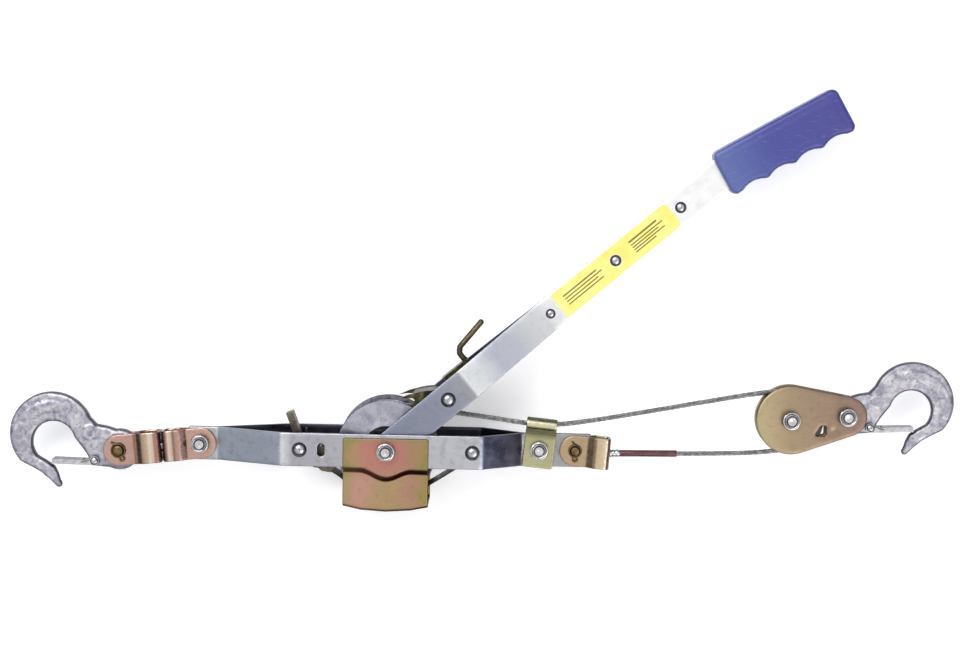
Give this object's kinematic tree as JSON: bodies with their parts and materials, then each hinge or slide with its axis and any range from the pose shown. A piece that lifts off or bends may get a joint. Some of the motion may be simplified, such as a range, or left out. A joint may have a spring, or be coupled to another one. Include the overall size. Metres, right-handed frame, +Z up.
{
  "type": "come along winch",
  "caption": "Hand lever winch: folded bar frame, ratchet drum of wire rope, guard, pulley block with latched hook, tail hook on a swivel, and a lever with a moulded grip.",
  "frame": {"origin": "on the drum axle's axis, at the underside of the axle bolt's head, which is the lowest face when the winch lies on its back", "axes": "+X along the frame from the axle towards the pulley block, +Y to the side the lever stands on, +Z up along the axle towards its nut"},
  "size_m": [0.8079, 0.3642, 0.08],
  "materials": {
    "zinc_bar": "bright zinc plate, satin, faint cool tint",
    "zinc_handle": "bright zinc plate, pale blue-grey",
    "zinc_bright": "bright zinc plated fasteners",
    "guard_zinc": "yellow chromate zinc, pink and gold iridescence",
    "keeper_zinc": "yellow chromate zinc, greenish yellow",
    "anchor_zinc": "yellow chromate zinc, tan gold",
    "cheek_zinc": "yellow chromate zinc, tan brown",
    "tail_zinc": "yellow chromate zinc, pink copper",
    "cotter_steel": "dark yellow zinc wire and pins",
    "pawl_steel": "dark olive yellow zinc",
    "dark_steel": "dark oiled steel",
    "drum_steel": "stamped zinc plated steel",
    "rope_steel": "galvanised stranded wire",
    "spring_steel": "drawn spring wire",
    "hook_steel": "galvanised forging, mottled",
    "latch_steel": "bright zinc plated sheet",
    "sheave_steel": "turned steel",
    "bushing_bronze": "sintered bronze",
    "grip_blue": "dipped vinyl, semi-gloss",
    "label_yellow": "printed film, plain bars only",
    "sleeve_vinyl": "shrunk vinyl sleeve"
  },
  "bodies": {
    "frame": {"frame_bar_front": "zinc_bar", "frame_bar_rear": "zinc_bar", "cross_rivets": "zinc_bright", "cross_spacer": "pawl_steel", "drum_strap": "dark_steel", "axle_bolt": "zinc_bright", "axle_washer": "zinc_bright", "frame_nuts": "zinc_bright", "drum_guard": "guard_zinc", "rope_keeper": "keeper_zinc", "keeper_bolt": "zinc_bright", "anchor_bracket": "anchor_zinc", "anchor_pin": "cotter_steel", "anchor_cotter": "cotter_steel", "rope_ferrule": "zinc_bright", "rope_sleeve": "sleeve_vinyl", "rope_lower_run": "rope_steel", "rope_upper_run": "rope_steel", "stop_pawl_spring": "spring_steel", "tail_bolt": "zinc_bright"},
    "handle": {"handle_strap_front": "zinc_handle", "handle_strap_rear": "zinc_handle", "handle_rivets": "zinc_bright", "handle_grip": "grip_blue", "handle_label": "label_yellow", "drive_pawl_pin": "zinc_bright", "drive_pawl_spring": "spring_steel"},
    "drive_pawl": {"drive_pawl": "pawl_steel", "finger_trigger": "pawl_steel"},
    "stop_pawl": {"stop_pawl": "pawl_steel"},
    "drum": {"drum_barrel": "drum_steel", "drum_flanges": "drum_steel", "ratchet_wheels": "drum_steel", "drum_hubs": "dark_steel", "wound_rope": "rope_steel"},
    "block": {"block_cheek_front": "cheek_zinc", "block_cheek_rear": "cheek_zinc", "sheave_bolt": "zinc_bright", "hook_bolt": "zinc_bright", "block_nuts": "zinc_bright", "rope_on_sheave": "rope_steel"},
    "sheave": {"sheave": "sheave_steel", "sheave_bushing": "bushing_bronze"},
    "block_hook": {"block_hook": "hook_steel", "block_latch_pin": "zinc_bright", "block_latch_spring": "spring_steel"},
    "block_latch": {"block_latch": "latch_steel"},
    "tail_yoke": {"tail_yoke": "tail_zinc", "swivel_rivet": "zinc_bright"},
    "tail_clevis": {"tail_clevis": "tail_zinc", "tail_pin": "cotter_steel", "tail_cotter": "cotter_steel"},
    "tail_hook": {"tail_hook": "hook_steel", "tail_latch_pin": "zinc_bright", "tail_latch_spring": "spring_steel"},
    "tail_latch": {"tail_latch": "latch_steel"}
  },
  "joints": [
    {"name": "handle_swing", "type": "hinge", "parent": "frame", "child": "handle", "pos_m": [0, 0, 0.04], "axis": [0, 0, 1], "range_deg": [0, 75]},
    {"name": "drive_pawl_pivot", "type": "hinge", "parent": "handle", "child": "drive_pawl", "pos_m": [0.05201, 0.04442, 0.04], "axis": [0, 0, 1], "range_deg": [-25, 0], "stiffness_Nm_per_rad": 0.3, "springref_deg": 20.05, "deforming": ["drive_pawl_spring"]},
    {"name": "stop_pawl_pivot", "type": "hinge", "parent": "frame", "child": "stop_pawl", "pos_m": [-0.0733, 0, 0.04], "axis": [0, 0, 1], "range_deg": [-25, 0], "stiffness_Nm_per_rad": 0.3, "springref_deg": 20.05, "deforming": ["stop_pawl_spring"]},
    {"name": "drum_spin", "type": "hinge", "parent": "frame", "child": "drum", "pos_m": [0, 0, 0.04], "axis": [0, 0, -1], "range_deg": [-213.9, 3972.5]},
    {"name": "block_travel", "type": "slide", "parent": "frame", "child": "block", "axis": [1, 0, 0], "range_m": [-0.07, 1.3], "deforming": ["rope_lower_run", "rope_upper_run"]},
    {"name": "sheave_spin", "type": "hinge", "parent": "block", "child": "sheave", "pos_m": [0.344, 0.0305, 0.04], "axis": [0, 0, -1], "range_deg": [-160.5, 2979.5]},
    {"name": "block_hook_pivot", "type": "hinge", "parent": "block", "child": "block_hook", "pos_m": [0.3918, 0.0344, 0.04], "axis": [0, 0, 1], "range_deg": [-55, 75]},
    {"name": "block_latch_pivot", "type": "hinge", "parent": "block_hook", "child": "block_latch", "pos_m": [0.412, 0.0252, 0.04], "axis": [0, 0, 1], "range_deg": [0, 30], "stiffness_Nm_per_rad": 0.06, "springref_deg": -14.32, "deforming": ["block_latch_spring"]},
    {"name": "tail_yoke_pivot", "type": "hinge", "parent": "frame", "child": "tail_yoke", "pos_m": [-0.1605, 0, 0.04], "axis": [0, 0, 1], "range_deg": [-70, 70]},
    {"name": "tail_swivel", "type": "hinge", "parent": "tail_yoke", "child": "tail_clevis", "pos_m": [-0.19304, -0.00325, 0.04], "axis": [-0.9951, -0.0993, 0], "continuous": true},
    {"name": "tail_hook_pivot", "type": "hinge", "parent": "tail_clevis", "child": "tail_hook", "pos_m": [-0.23035, -0.00697, 0.04], "axis": [0, 0, 1], "range_deg": [-80, 80]},
    {"name": "tail_latch_pivot", "type": "hinge", "parent": "tail_hook", "child": "tail_latch", "pos_m": [-0.25116, -0.01671, 0.04], "axis": [0, 0, -1], "range_deg": [0, 30], "stiffness_Nm_per_rad": 0.06, "springref_deg": -14.32, "deforming": ["tail_latch_spring"]}
  ],
  "couplings": [
    {"joint": "block_travel", "follows": "drum_spin", "m_per_rad": 0.01875},
    {"joint": "sheave_spin", "follows": "drum_spin", "ratio": 0.75}
  ]
}
